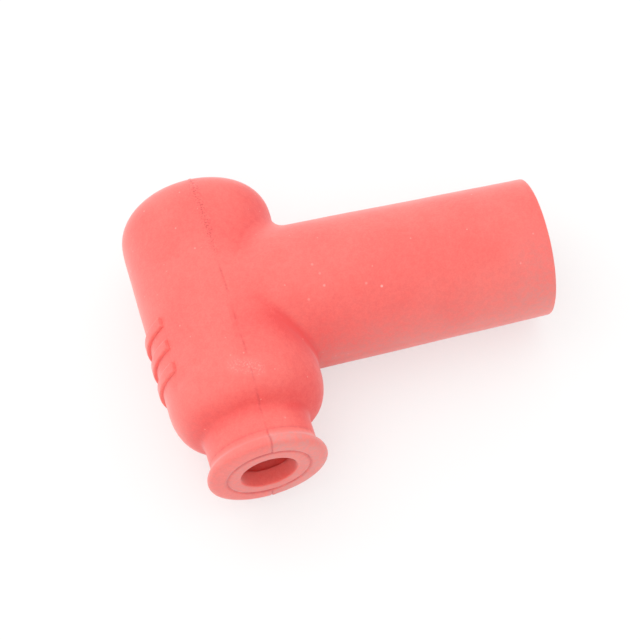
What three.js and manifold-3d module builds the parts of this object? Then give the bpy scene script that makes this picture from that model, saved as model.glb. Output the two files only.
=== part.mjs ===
import * as THREE from 'three';
import { mergeVertices } from 'three/addons/utils/BufferGeometryUtils.js';
import Module from 'manifold-3d';

// A right-angle spark plug cap. One moulding of red silicone rubber makes a tube for the plug and a
// domed head for the ignition lead. A turned brass socket, its wire clip and a pointed stud for the
// lead's core sit inside. The cap lies on its side, as it rests by itself.
// Millimetres, +Z up. The plug tube points along +X and the lead's collar along -Y.
// Until it is laid down, the cap has its zero where the tube's axis crosses the head's axis.

// Head, turned about the lead's axis: lengths run along that axis from the crossing
const headRadius = 9.79;
const domeTop = 17.87;
const domeHeight = 6.98;
const domeFullness = 2.25;
const shoulderStart = 11.87;
const shoulderHeight = 4.78;
const neckRadius = 6.73;
const collarBack = 21.04;
const collarFace = 22.82;
const collarRadius = 7.69;
const faceRingRadius = 5.41;
const faceRingWidth = 0.4;
const faceRingDepth = 0.2;
const lean = THREE.MathUtils.degToRad(2.3);

// Plug tube, turned about +X and tapering from the crossing to its end
const tubeRootRadius = 9.56;
const tubeEndRadius = 8.93;
const tubeLength = 41.59;
const tubeEdge = 0.4;
const domeSideFillet = 2.2;
const collarSideFillet = 0.5;
const filletSink = 0.08;

// Three plain raised bars across the back of the head
const barCount = 3;
const barWidth = 1.3;
const barHeight = 0.5;
const barPitch = 3.2;
const barMiddle = -5.4;
const barHalfAngle = THREE.MathUtils.degToRad(36);
const barSink = 0.6;

// Lead's entry, for a 7 mm ignition lead
const leadHoleRadius = 3.57;
const leadLip = 2.2;
const reliefRadius = 4.5;
const reliefLength = 2.5;
const reliefSlope = 0.5;
const leadBoreRadius = 3.65;

// Plug's bore, for the 10.5 mm insulator of a standard plug
const plugBoreRadius = 5.2;
const mouthChamfer = 0.7;
const lipRadius = 4.6;
const lipLength = 1.5;
const sealRadius = 4.9;
const sealHalfWidth = 0.7;
const sealCrest = 0.15;
const sealSetbacks = [4, 8];

// Turned brass socket for the plug's 6.35 mm terminal nut
const socketRadius = 5;
const socketBack = -4.5;
const socketFront = 18;
const socketChamfer = 0.4;
const nutBoreRadius = 3.25;
const nutBoreDepth = 10;
const nutBoreChamfer = 0.5;
const drillPoint = 0.9;

// Hairpin clip of spring wire, in a groove round the socket
const wireRadius = 0.4;
const clipSetback = 5;
const clipReach = 0.4;
const clipTail = 2.7;

// Pointed stud that the lead's core is twisted onto, screwed into the socket
const studShankRadius = 1.5;
const studInset = 2.7;
const studCollar = 0.6;
const studThreadRadius = 1.2;
const studPoint = 12.6;
const studTip = 14.8;

// Clear space between the pieces, and room past a face for a cut to come out
const fitGap = 0.3;
const overcut = 1;

// Facets around a turned form, and steps along a curve
const outsideFacets = 48;
const boreFacets = 32;
const domeSteps = 8;
const shoulderSteps = 6;
const rimSteps = 6;
const filletSteps = 5;
const barSteps = 12;
const wireSides = 8;
const wireSteps = 40;

const wasm = await Module();
wasm.setup();

function solid(geometry) {
  const bare = geometry.clone();
  bare.deleteAttribute('normal');
  bare.deleteAttribute('uv');
  const merged = mergeVertices(bare);
  const vertProperties = new Float32Array(merged.attributes.position.array);
  const triVerts = new Uint32Array(merged.index.array);
  return new wasm.Manifold(new wasm.Mesh({ numProp: 3, vertProperties, triVerts }));
}

function geometryOf(manifold) {
  const mesh = manifold.getMesh();
  const geometry = new THREE.BufferGeometry();
  geometry.setAttribute('position', new THREE.BufferAttribute(mesh.vertProperties, 3));
  geometry.setIndex(new THREE.BufferAttribute(mesh.triVerts, 1));
  geometry.computeVertexNormals();
  return geometry;
}

// A profile of [radius, length along] pairs, turned about +Y with a flat facing down
function turned(profile, facets) {
  const points = profile.map(([radius, along]) => new THREE.Vector2(radius, along));
  return new THREE.LatheGeometry(points, facets, Math.PI / facets);
}

// The same, turned about +X
function turnedAlongX(profile, facets) {
  return turned(profile, facets).rotateZ(-Math.PI / 2);
}

function alongHead(geometry) {
  return geometry.rotateZ(lean);
}

function domeProfile() {
  const profile = [[0, domeTop]];
  for (let step = 1; step <= domeSteps; step += 1) {
    const angle = (step / domeSteps) * Math.PI / 2;
    const across = Math.sin(angle) ** (2 / domeFullness);
    const drop = 1 - Math.max(Math.cos(angle), 0) ** (2 / domeFullness);
    profile.push([headRadius * across, domeTop - domeHeight * drop]);
  }
  return profile;
}

function shoulderProfile() {
  const profile = [];
  for (let step = 0; step <= shoulderSteps; step += 1) {
    const angle = (step / shoulderSteps) * Math.PI / 2;
    const radius = neckRadius + (headRadius - neckRadius) * Math.cos(angle);
    profile.push([radius, -shoulderStart - shoulderHeight * Math.sin(angle)]);
  }
  return profile;
}

function rimProfile() {
  const rimRadius = (collarFace - collarBack) / 2;
  const profile = [];
  for (let step = 0; step <= rimSteps; step += 1) {
    const angle = (step / rimSteps) * Math.PI;
    const radius = collarRadius - rimRadius + rimRadius * Math.sin(angle);
    profile.push([radius, -collarBack - rimRadius * (1 - Math.cos(angle))]);
  }
  return profile;
}

function headGeometry() {
  const ring = [
    [faceRingRadius + faceRingWidth / 2, -collarFace],
    [faceRingRadius, -collarFace + faceRingDepth],
    [faceRingRadius - faceRingWidth / 2, -collarFace],
  ];
  const neckEnd = [neckRadius, -collarBack];
  const outline = [
    ...domeProfile(), ...shoulderProfile(), neckEnd, ...rimProfile(), ...ring, [0, -collarFace],
  ];
  return alongHead(turned(outline.reverse(), outsideFacets));
}

// Radius of the head at a length along its axis, positive towards the dome
function headRadiusAt(along) {
  const domeStart = domeTop - domeHeight;
  if (along > domeStart) {
    const height = Math.max(1 - (along - domeStart) / domeHeight, 0);
    const flat = (1 - height) ** (domeFullness / 2);
    return headRadius * Math.sqrt(Math.max(1 - flat * flat, 0)) ** (2 / domeFullness);
  }
  if (along > -shoulderStart) {
    return headRadius;
  }
  const share = Math.min((-shoulderStart - along) / shoulderHeight, 1);
  return neckRadius + (headRadius - neckRadius) * Math.sqrt(1 - share * share);
}

function isInHead(x, y, z, sink) {
  const along = y * Math.cos(lean) - x * Math.sin(lean);
  const across = y * Math.sin(lean) + x * Math.cos(lean);
  return Math.hypot(across, z) < headRadiusAt(along) - sink;
}

// The largest length from 0 to the limit for which the test still holds
function lastInside(test, limit) {
  let inside = 0;
  let outside = limit;
  for (let halving = 0; halving < 40; halving += 1) {
    const middle = (inside + outside) / 2;
    if (test(middle)) {
      inside = middle;
    } else {
      outside = middle;
    }
  }
  return inside;
}

function tubeRadiusAt(x) {
  return tubeRootRadius + (tubeEndRadius - tubeRootRadius) * (x / tubeLength);
}

// The fillet between tube and head at one angle around the tube, as a curve of (x, radius).
// It runs from the tube's cone to the head's side, and fades where the two nearly touch.
function filletCurve(y, z) {
  const size = THREE.MathUtils.lerp(collarSideFillet, domeSideFillet, (1 + y) / 2);
  const limit = 2 * headRadius;
  const cornerX = lastInside((x) => isInHead(x, y * tubeRadiusAt(x), z * tubeRadiusAt(x), 0), limit);
  const cornerRadius = tubeRadiusAt(cornerX);
  const headTest = (radius) => isInHead(0, y * radius, z * radius, filletSink);
  const headSide = Math.max(Math.min(cornerRadius + size, lastInside(headTest, limit)), cornerRadius);
  const headX = lastInside((x) => isInHead(x, y * headSide, z * headSide, filletSink), limit);
  const corner = new THREE.Vector2(cornerX, cornerRadius);
  const onHead = new THREE.Vector2(headX, headSide);
  const tubeX = cornerX + corner.distanceTo(onHead);
  const onTube = new THREE.Vector2(tubeX, tubeRadiusAt(tubeX));
  return new THREE.QuadraticBezierCurve(onTube, corner, onHead);
}

// A turned tube whose last rings are drawn onto the fillet, angle by angle
function tubeGeometry() {
  const profile = [[0, 0]];
  for (let step = 0; step <= filletSteps; step += 1) {
    profile.push([tubeRootRadius, step]);
  }
  const firstFilletRow = 1;
  const rowCount = profile.length + 3;
  profile.push([tubeEndRadius, tubeLength - tubeEdge]);
  profile.push([tubeEndRadius - tubeEdge, tubeLength]);
  profile.push([0, tubeLength]);
  const geometry = turnedAlongX(profile, outsideFacets);
  const position = geometry.attributes.position;
  for (let index = 0; index < position.count; index += 1) {
    const step = (index % rowCount) - firstFilletRow;
    if (step >= 0 && step <= filletSteps) {
      const angle = Math.atan2(position.getZ(index), position.getY(index));
      const y = Math.cos(angle);
      const z = Math.sin(angle);
      const point = filletCurve(y, z).getPoint(1 - step / filletSteps);
      position.setXYZ(index, point.x, y * point.y, z * point.y);
    }
  }
  return geometry;
}

function barGeometry(number) {
  const bar = new THREE.Shape();
  const outer = headRadius + barHeight;
  const inner = headRadius - barSink;
  bar.absarc(0, 0, outer, Math.PI - barHalfAngle, Math.PI + barHalfAngle, false);
  bar.absarc(0, 0, inner, Math.PI + barHalfAngle, Math.PI - barHalfAngle, true);
  const settings = { depth: barWidth, bevelEnabled: false, curveSegments: barSteps };
  const geometry = new THREE.ExtrudeGeometry(bar, settings).rotateX(Math.PI / 2);
  const along = barMiddle + (number - (barCount - 1) / 2) * barPitch;
  return alongHead(geometry.translate(0, along + barWidth / 2, 0));
}

function leadBoreGeometry() {
  const lipBack = -collarFace + leadLip;
  const profile = [
    [0, -collarFace - overcut],
    [leadHoleRadius, -collarFace - overcut],
    [leadHoleRadius, lipBack],
    [reliefRadius, lipBack],
    [reliefRadius, lipBack + reliefLength],
    [leadBoreRadius, lipBack + reliefLength + reliefSlope],
    [leadBoreRadius, 0],
    [0, 0],
  ];
  return alongHead(turned(profile, boreFacets));
}

function plugBoreGeometry() {
  const cavityRadius = socketRadius + fitGap;
  const lipStart = socketFront + fitGap;
  const profile = [
    [0, socketBack - fitGap],
    [cavityRadius, socketBack - fitGap],
    [cavityRadius, lipStart],
    [lipRadius, lipStart],
    [lipRadius, lipStart + lipLength],
    [plugBoreRadius, lipStart + lipLength],
  ];
  const seals = sealSetbacks.map((setback) => tubeLength - setback).reverse();
  for (const seal of seals) {
    profile.push([plugBoreRadius, seal - sealHalfWidth]);
    profile.push([sealRadius, seal - sealCrest]);
    profile.push([sealRadius, seal + sealCrest]);
    profile.push([plugBoreRadius, seal + sealHalfWidth]);
  }
  profile.push([plugBoreRadius, tubeLength - mouthChamfer]);
  profile.push([plugBoreRadius + mouthChamfer, tubeLength]);
  profile.push([plugBoreRadius + mouthChamfer, tubeLength + overcut]);
  profile.push([0, tubeLength + overcut]);
  return turnedAlongX(profile, boreFacets);
}

function rubberBoot() {
  let rubber = solid(headGeometry()).add(solid(tubeGeometry()));
  for (let number = 0; number < barCount; number += 1) {
    rubber = rubber.add(solid(barGeometry(number)));
  }
  rubber = rubber.subtract(solid(leadBoreGeometry()));
  rubber = rubber.subtract(solid(plugBoreGeometry()));
  return geometryOf(rubber);
}

const legOffset = nutBoreRadius + wireRadius - clipReach;
const clipArcRadius = socketRadius - wireRadius;
const clipX = socketFront - clipSetback;

function plugSocket() {
  const grooveHalf = wireRadius + fitGap;
  const grooveFloor = clipArcRadius - wireRadius - fitGap;
  const boreEnd = socketFront - nutBoreDepth;
  const profile = [
    [0, socketBack],
    [socketRadius - socketChamfer, socketBack],
    [socketRadius, socketBack + socketChamfer],
    [socketRadius, clipX - grooveHalf],
    [grooveFloor, clipX - grooveHalf],
    [grooveFloor, clipX + grooveHalf],
    [socketRadius, clipX + grooveHalf],
    [socketRadius, socketFront - socketChamfer],
    [socketRadius - socketChamfer, socketFront],
    [nutBoreRadius + nutBoreChamfer, socketFront],
    [nutBoreRadius, socketFront - nutBoreChamfer],
    [nutBoreRadius, boreEnd],
    [0, boreEnd - drillPoint],
  ];
  const slotInner = legOffset - wireRadius - fitGap;
  const slotOuter = socketRadius + overcut;
  const slotHalfLength = Math.sqrt(grooveFloor ** 2 - slotInner ** 2) + fitGap;
  const slot = new THREE.BoxGeometry(2 * grooveHalf, slotOuter - slotInner, 2 * slotHalfLength);
  const slotMiddle = (slotInner + slotOuter) / 2;
  const studRoom = studInset + fitGap;
  const studHoleRadius = studShankRadius + fitGap;
  const studHole = turned([
    [0, -socketRadius - overcut],
    [studHoleRadius, -socketRadius - overcut],
    [studHoleRadius, studRoom],
    [0, studRoom],
  ], boreFacets);
  return geometryOf(
    solid(turnedAlongX(profile, boreFacets))
      .subtract(solid(slot.clone().translate(clipX, slotMiddle, 0)))
      .subtract(solid(slot.clone().translate(clipX, -slotMiddle, 0)))
      .subtract(solid(alongHead(studHole))),
  );
}

// The wire runs up one leg, over the socket and down the other leg
class HairpinPath extends THREE.Curve {
  getPoint(share, target = new THREE.Vector3()) {
    const bendHeight = Math.sqrt(clipArcRadius ** 2 - legOffset ** 2);
    const bendAngle = Math.atan2(bendHeight, legOffset);
    const leg = clipTail + bendHeight;
    const arc = clipArcRadius * (Math.PI - 2 * bendAngle);
    const travelled = share * (2 * leg + arc);
    if (travelled < leg) {
      return target.set(0, legOffset, travelled - clipTail);
    }
    if (travelled > leg + arc) {
      return target.set(0, -legOffset, 2 * leg + arc - travelled - clipTail);
    }
    const angle = bendAngle + (travelled - leg) / clipArcRadius;
    return target.set(0, clipArcRadius * Math.cos(angle), clipArcRadius * Math.sin(angle));
  }
}

function retainingClip() {
  const section = new THREE.Shape();
  section.absarc(0, 0, wireRadius, 0, 2 * Math.PI, false);
  const settings = {
    steps: wireSteps,
    bevelEnabled: false,
    curveSegments: wireSides,
    extrudePath: new HairpinPath(),
  };
  return geometryOf(solid(new THREE.ExtrudeGeometry(section, settings)));
}

function leadScrew() {
  const threadStart = -socketRadius - studCollar;
  const profile = [
    [0, -studTip],
    [studThreadRadius, -studPoint],
    [studThreadRadius, threadStart],
    [studShankRadius, threadStart],
    [studShankRadius, studInset],
    [0, studInset],
  ];
  return geometryOf(solid(turned(profile, boreFacets)));
}

const rubber = new THREE.MeshStandardMaterial({ color: '#f2504a', roughness: 0.75, metalness: 0 });
const brass = new THREE.MeshStandardMaterial({ color: '#c9a35a', roughness: 0.35, metalness: 1 });
const springSteel = new THREE.MeshStandardMaterial({ color: '#b9bcc0', roughness: 0.3, metalness: 1 });
const screwBrass = new THREE.MeshStandardMaterial({ color: '#bf9a55', roughness: 0.4, metalness: 1 });

function piece(name, geometry, material) {
  const mesh = new THREE.Mesh(geometry, material);
  mesh.name = name;
  return mesh;
}

const pieces = new THREE.Group();
pieces.add(piece('rubber_boot', rubberBoot(), rubber));
pieces.add(piece('plug_socket', plugSocket(), brass));

const clip = piece('retaining_clip', retainingClip(), springSteel);
clip.position.x = clipX;
pieces.add(clip);

const stud = piece('lead_screw', leadScrew(), screwBrass);
stud.rotation.z = lean;
pieces.add(stud);

// Laid down, the cap turns about the head's axis until the end of its tube touches the ground
const restTilt = Math.asin((headRadius - tubeEndRadius) / tubeLength);
pieces.rotation.z = -lean;
const tipped = new THREE.Group();
tipped.rotation.y = restTilt;
tipped.add(pieces);
const headAligned = new THREE.Group();
headAligned.rotation.z = lean;
headAligned.add(tipped);

const cap = new THREE.Group();
cap.add(headAligned);
const box = new THREE.Box3().setFromObject(cap, true);
headAligned.position.set(-(box.min.x + box.max.x) / 2, -(box.min.y + box.max.y) / 2, -box.min.z);

export default cap;
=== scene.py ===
"""A right-angle spark plug cap of moulded red silicone rubber, lying on its side.

Lengths are in metres. The pieces are shaped about the point where the tube's axis crosses the head's
axis, with the tube along +X and the lead's collar along -Y, and are then laid down where the packed
model lies.
"""

import math

import bmesh
import bpy
from bpy.props import FloatProperty, FloatVectorProperty, IntProperty, PointerProperty
from mathutils import Matrix, Vector, noise
from mathutils.geometry import interpolate_bezier


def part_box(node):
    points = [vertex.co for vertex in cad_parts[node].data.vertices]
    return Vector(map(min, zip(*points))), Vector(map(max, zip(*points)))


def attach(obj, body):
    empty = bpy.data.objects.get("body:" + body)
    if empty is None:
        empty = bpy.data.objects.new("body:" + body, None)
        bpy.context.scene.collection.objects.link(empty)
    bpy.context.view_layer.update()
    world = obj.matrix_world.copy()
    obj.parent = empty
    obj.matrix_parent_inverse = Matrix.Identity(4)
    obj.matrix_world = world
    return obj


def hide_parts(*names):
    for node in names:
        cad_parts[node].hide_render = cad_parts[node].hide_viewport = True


bl_info = {
    "name": "Spark plug cap",
    "version": (1, 0, 0),
    "blender": (4, 5, 0),
    "location": "3D View > Sidebar > Plug cap",
    "description": "Builds a moulded right-angle spark plug cap with its brass socket",
    "category": "Add Mesh",
}

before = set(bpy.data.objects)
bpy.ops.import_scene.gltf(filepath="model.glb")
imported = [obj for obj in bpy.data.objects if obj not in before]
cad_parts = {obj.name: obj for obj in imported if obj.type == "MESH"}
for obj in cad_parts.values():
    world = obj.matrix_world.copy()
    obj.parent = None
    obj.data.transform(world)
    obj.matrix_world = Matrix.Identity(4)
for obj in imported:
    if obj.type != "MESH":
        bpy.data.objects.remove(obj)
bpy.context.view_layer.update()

MM = 0.001

SMOOTH = {"interpolation_type": "SMOOTHSTEP"}

# Marks on the rubber, each a number from 0 to 1 at every vertex of the boot: painted shade in the
# creases and on the sides turned from the light, pale film that is dusty bloom with painted sheen on the
# sides, drawn lines that are the seam and painted shade in the folds, pits along the seam, and where the
# surface is rubbed and dusty
MARKS = ("painted_shade", "film_and_sheen", "line", "pits", "worn")

# Places in mm from the crossing of the axes, and how strong each large speck is
LARGE_SPECKS = {
    (11.55, -0.88, 9.33): 0.25,
    (12.18, -2.21, 9.1): 0.2,
    (12.38, -3.71, 8.59): 0.35,
    (10.13, -4.88, 8.03): 0.2,
    (17.57, -4.42, 8.16): 0.25,
    (19.39, -5.06, 7.77): 0.6,
}
SPECKLED_ROOT = (12.38, -3.71, 8.59)
SPECK_RADIUS = 0.22 * MM
SCUFF = ((-0.9, -12.3, 9.45), (1.6, -13.3, 9.35))
SHALLOW_FOLD = ((-7.95, -11.16, 5.09), (-4.37, -10.08, 8.55))
HANDLED_END = ((39.83, -4.61, 7.68), (39.46, -8.14, 3.74))


def linear_colour(text):
    """An sRGB hex colour as linear red, green and blue."""
    shares = [int(text[place:place + 2], 16) / 255 for place in (1, 3, 5)]
    return [s / 12.92 if s <= 0.04045 else ((s + 0.055) / 1.055) ** 2.4 for s in shares]


def length(name, description, millimetres):
    return FloatProperty(
        name=name, description=description, default=millimetres * MM, unit="LENGTH", precision=5
    )


def turn(name, description, degrees):
    return FloatProperty(
        name=name, description=description, default=math.radians(degrees), unit="ROTATION"
    )


def count(name, description, number):
    return IntProperty(name=name, description=description, default=number, min=1)


def colour(name, description, text):
    return FloatVectorProperty(
        name=name, description=description, default=linear_colour(text), subtype="COLOR", size=3
    )


class CapHeadSizes(bpy.types.PropertyGroup):
    """The domed head, turned about the lead's axis"""

    radius: length("Radius", "Outside radius of the head", 9.79)
    dome_top: length("Dome top", "From the crossing of the axes to the top of the dome", 17.5)
    dome_height: length("Dome height", "Height of the rounded end", 6.15)
    dome_fullness: FloatProperty(
        name="Dome fullness", description="2 is an ellipse, more is squarer", default=2.5
    )
    shoulder_start: length("Shoulder start", "From the crossing to where the side ends", 11.87)
    shoulder_height: length("Shoulder height", "Height of the rounded shoulder", 4.78)
    neck_radius: length("Neck radius", "Radius between shoulder and collar", 6.73)
    collar_back: length("Collar back", "From the crossing to where the collar flares out", 20.2)
    collar_face: length("Collar face", "From the crossing to the face of the collar", 22.82)
    collar_radius: length("Collar radius", "Radius of the collar's rim", 7.6)
    ring_radius: length("Ring radius", "Radius of the fine line in the face", 5.27)
    hole_radius: length("Hole radius", "Radius of the hole for the lead", 3.57)
    lip: length("Lip", "Thickness of the rubber round the hole", 2.2)
    relief_radius: length("Relief radius", "Radius of the wider space behind the lip", 4.5)
    relief_length: length("Relief length", "Length of the wider space behind the lip", 2.5)
    bore_radius: length("Bore radius", "Radius of the lead's bore", 3.65)
    lean: turn("Lean", "How far the head's axis leans from square to the tube", 1.8)
    fuller_side: length("Fuller side", "How much fuller the dome is on the tube's side", 0.2)


class CapTubeSizes(bpy.types.PropertyGroup):
    """The tapered tube for the plug"""

    root_radius: length("Root radius", "Outside radius at the crossing of the axes", 9.56)
    end_radius: length("End radius", "Outside radius at the open end", 8.93)
    length: length("Length", "From the crossing of the axes to the open end", 41.59)
    edge: length("Edge", "Rounding of the outer edge of the open end", 0.25)
    dome_side_fillet: length("Dome side fillet", "Rounding against the head, towards the dome", 2.2)
    collar_side_fillet: length("Collar side fillet", "Rounding against the head, at the collar", 1.25)
    bore_radius: length("Bore radius", "Radius of the plug's bore", 5.2)
    mouth_rounding: length("Mouth rounding", "Rounding of the bore's mouth", 0.7)
    seal_radius: length("Seal radius", "Inside radius of the sealing rings", 4.9)
    seal_setback: length("Seal setback", "From the mouth to the first ring, and from ring to ring", 4.0)
    lip_radius: length("Lip radius", "Inside radius of the lip that holds the socket", 4.6)
    lip_length: length("Lip length", "Length of that lip", 1.5)


class CapBarSizes(bpy.types.PropertyGroup):
    """The plain raised bars across the back of the head"""

    number: count("Number", "How many bars there are", 3)
    width: length("Width", "Width of one bar", 1.3)
    height: length("Height", "How far a bar stands out of the head", 0.5)
    pitch: length("Pitch", "From bar to bar", 3.2)
    middle: length("Middle", "Place of the middle bar along the head's axis", -5.4)
    half_angle: turn("Half angle", "How far a bar reaches round the head to each side", 36)
    rounding: length("Rounding", "Rounding of a bar's edges", 0.22)


class CapSeamSizes(bpy.types.PropertyGroup):
    """The line that the two halves of the mould leave round the head"""

    offset: length("Offset", "From the head's axis to the seam, towards the tube", 0.4)
    height: length("Height", "Height of the line of flash", 0.04)
    half_width: length("Half width", "Half the width of the line", 0.11)
    groove: length("Groove", "Depth of the fine groove beside the line", 0.02)
    pit_depth: length("Pit depth", "Depth of the pits along the seam near the dome", 0.12)
    notch: length("Notch", "Depth of the notch that the seam leaves in the collar", 0.1)
    step: length("Step", "How far the two halves of the collar miss each other", 0.07)


class CapSocketSizes(bpy.types.PropertyGroup):
    """The turned socket for the plug's terminal nut"""

    radius: length("Radius", "Outside radius of the socket", 5.0)
    back: length("Back", "Place of the closed end along the tube", -4.5)
    front: length("Front", "Place of the open end along the tube", 18.0)
    chamfer: length("Chamfer", "Chamfer of the outer edges", 0.4)
    bore_radius: length("Bore radius", "Radius of the bore for the terminal nut", 3.25)
    bore_depth: length("Bore depth", "Depth of that bore", 10.0)
    drill_point: length("Drill point", "Depth of the cone at the bottom of the bore", 0.9)
    clip_setback: length("Clip setback", "From the open end to the clip", 5.0)
    wire_radius: length("Wire radius", "Radius of the clip's wire", 0.4)
    clip_reach: length("Clip reach", "How far each leg stands into the bore", 0.4)
    clip_tail: length("Clip tail", "How far each leg runs past the socket's axis", 2.7)
    screw_radius: length("Screw radius", "Radius of the screw's shank", 1.5)
    screw_inset: length("Screw inset", "How far the shank runs past the socket's axis", 2.7)
    thread_radius: length("Thread radius", "Outside radius of the screw's thread", 1.2)
    thread_pitch: length("Thread pitch", "From turn to turn of the thread", 0.9)
    thread_depth: length("Thread depth", "Depth of the thread", 0.32)
    screw_point: length("Screw point", "From the crossing to where the point begins", 12.6)
    screw_tip: length("Screw tip", "From the crossing to the tip of the point", 14.8)
    gap: length("Gap", "Clear space between the pieces", 0.3)


class CapColours(bpy.types.PropertyGroup):
    """Colours of the rubber and the metals"""

    rubber: colour("Rubber", "Red silicone rubber in plain light", "#FF7B73")
    # Painted shade with the faint mottle: this darker red is laid into the creases, the neck's corner
    # and the sides turned from the light
    rubber_shade_and_mottle: colour("Shaded and mottled rubber", "The same where the surface is clean and dense", "#F3504E")
    # Partly a dusty bloom, partly painted sheen along the sides that turn from up
    bloom_and_sheen: colour("Bloom and sheen", "Dry, greyish film on the rubber", "#D2A49F")
    # Drawn for the seam line; in the folds, the ring's groove and the pits along the seam it is painted
    # shade
    line: colour("Line", "Seams, folds and pits, where the rubber is darkest", "#C63B46")
    speck: colour("Speck", "Specks of pale dust", "#FFCFC6")
    brass: colour("Brass", "Turned brass", "#CDA75E")
    steel: colour("Steel", "Drawn spring wire", "#B9BCC0")
    floor: colour("Floor", "White paper under the cap", "#FAFBFA")


class CapCamera(bpy.types.PropertyGroup):
    """Where the camera stands, and what it looks at"""

    azimuth: turn("Azimuth", "Turn of the camera about the vertical, 0 looks along +Y", -14.5)
    elevation: turn("Elevation", "Height of the camera above the horizon", 61.66)
    distance: length("Distance", "From the camera to the point that it looks at", 276.1)
    aim_across: length("Aim across", "From the crossing of the axes to that point, to the right", 12.56)
    aim_up: length("Aim up", "From the crossing of the axes to that point, upwards", -0.695)
    lens: FloatProperty(
        name="Lens", description="Focal length in mm", default=122.8, unit="CAMERA"
    )


GROUPS = {
    "cap_head": CapHeadSizes,
    "cap_tube": CapTubeSizes,
    "cap_bars": CapBarSizes,
    "cap_seam": CapSeamSizes,
    "cap_socket": CapSocketSizes,
    "cap_colours": CapColours,
    "cap_camera": CapCamera,
}


def falloff(distance, reach):
    """A share that is 1 at no distance and fades to almost nothing at twice the reach."""
    return math.exp(-((distance / reach) ** 2))


def eased(value, low, high):
    """A share from 0 to 1 as the value goes from low to high, smooth at both ends."""
    share = min(max((value - low) / (high - low), 0), 1)
    return share * share * (3 - 2 * share)


def lying_down():
    """The turn that lays the cap down, and the place of the crossing of the axes."""
    scene = bpy.context.scene
    head, tube, socket = scene.cap_head, scene.cap_tube, scene.cap_socket
    tilt = math.asin((head.radius - tube.end_radius) / tube.length)
    turned = (
        Matrix.Rotation(head.lean, 4, "Z")
        @ Matrix.Rotation(tilt, 4, "Y")
        @ Matrix.Rotation(-head.lean, 4, "Z")
    )
    low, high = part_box("plug_socket")
    middle = Vector(((socket.back + socket.front) / 2, 0, 0))
    crossing = (low + high) / 2 - turned @ middle
    return turned, crossing


def arc_between(start, finish, centre, steps):
    """Points on the arc from start to finish about a centre, both ends among them."""
    first = start - centre
    last = finish - centre
    total = first.angle(last)
    points = []
    for step in range(steps + 1):
        share = step / steps
        ahead = math.sin((1 - share) * total) / math.sin(total)
        behind = math.sin(share * total) / math.sin(total)
        points.append(centre + first * ahead + last * behind)
    return points


def rounded(corners, steps=6):
    """A profile from corners of (radius, length along the axis, rounding)."""
    outline = []
    for index, (radius, along, rounding) in enumerate(corners):
        corner = Vector((radius, along))
        if not rounding:
            outline.append(corner)
            continue
        before = (Vector(corners[index - 1][:2]) - corner).normalized()
        after = (Vector(corners[index + 1][:2]) - corner).normalized()
        half = before.angle(after) / 2
        reach = rounding / math.tan(half)
        centre = corner + (before + after).normalized() * rounding / math.sin(half)
        outline += arc_between(corner + before * reach, corner + after * reach, centre, steps)
    return outline


def spaced(outline, longest):
    """The same profile with no step longer than the given length."""
    result = [outline[0]]
    for start, finish in zip(outline, outline[1:]):
        steps = max(1, math.ceil((finish - start).length / longest))
        result += [start.lerp(finish, step / steps) for step in range(1, steps + 1)]
    return result


def softened(outline, passes):
    """The same profile with its corners worn soft; its ends stay."""
    points = [point.copy() for point in outline]
    for _ in range(passes):
        between = [
            point.lerp((before + after) / 2, 0.5)
            for before, point, after in zip(points, points[1:], points[2:])
        ]
        points = [points[0], *between, points[-1]]
    return points


def spin_profile(outline, sectors, start_angle=0):
    """A bmesh of the profile spun about +Y from +Z towards +X, as sectors of (angle, steps)."""
    form = bmesh.new()
    share = form.verts.layers.float.new("share")
    facing = Matrix.Rotation(start_angle - math.pi / 2, 3, "Y")
    corners = []
    for index, (radius, along) in enumerate(outline):
        corner = form.verts.new(facing @ Vector((radius, along, 0)))
        corner[share] = index
        corners.append(corner)
    swept = corners + [form.edges.new(pair) for pair in zip(corners, corners[1:])]
    for angle, steps in sectors:
        made = bmesh.ops.spin(
            form, geom=swept, cent=(0, 0, 0), axis=(0, 1, 0), angle=angle, steps=steps
        )
        swept = made["geom_last"]
    bmesh.ops.remove_doubles(form, verts=form.verts, dist=1e-4 * MM)
    bmesh.ops.recalc_face_normals(form, faces=form.faces)
    return form


def spin_whole(outline, steps):
    """A bmesh of the profile spun all the way round."""
    return spin_profile(outline, [(2 * math.pi, steps)])


def along_x(form):
    """Turns a form that was spun about +Y so that its axis is +X."""
    bmesh.ops.rotate(form, verts=form.verts, matrix=Matrix.Rotation(-math.pi / 2, 3, "Z"))
    return form


def along_head(form):
    """Leans a form that was spun about +Y onto the head's axis."""
    lean = bpy.context.scene.cap_head.lean
    bmesh.ops.rotate(form, verts=form.verts, matrix=Matrix.Rotation(lean, 3, "Z"))
    return form


def as_object(form, name):
    mesh = bpy.data.meshes.new(name)
    form.to_mesh(mesh)
    form.free()
    item = bpy.data.objects.new(name, mesh)
    bpy.context.scene.collection.objects.link(item)
    return item


def evaluated_mesh(item):
    graph = bpy.context.evaluated_depsgraph_get()
    return bpy.data.meshes.new_from_object(item.evaluated_get(graph))


def combine(item, form, operation):
    """Joins a bmesh to an object, or cuts it out."""
    other = as_object(form, "tool")
    modifier = item.modifiers.new(operation, "BOOLEAN")
    modifier.operation = operation
    modifier.object = other
    modifier.solver = "MANIFOLD"
    mesh = evaluated_mesh(item)
    item.modifiers.clear()
    item.data = mesh
    bpy.data.objects.remove(other)
    if not mesh.polygons:
        raise RuntimeError(f"{operation} left nothing of {item.name}")


def finish_piece(item, node, material, crease_angle):
    """Lays a piece down in place of its node, and gives it its shading and finish."""
    turned, crossing = lying_down()
    item.data.transform(Matrix.Translation(crossing) @ turned)
    item.data.shade_smooth()
    item.data.set_sharp_from_angle(angle=math.radians(crease_angle))
    item.data.materials.clear()
    item.data.materials.append(material)
    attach(item, "root")
    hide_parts(node)


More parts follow.
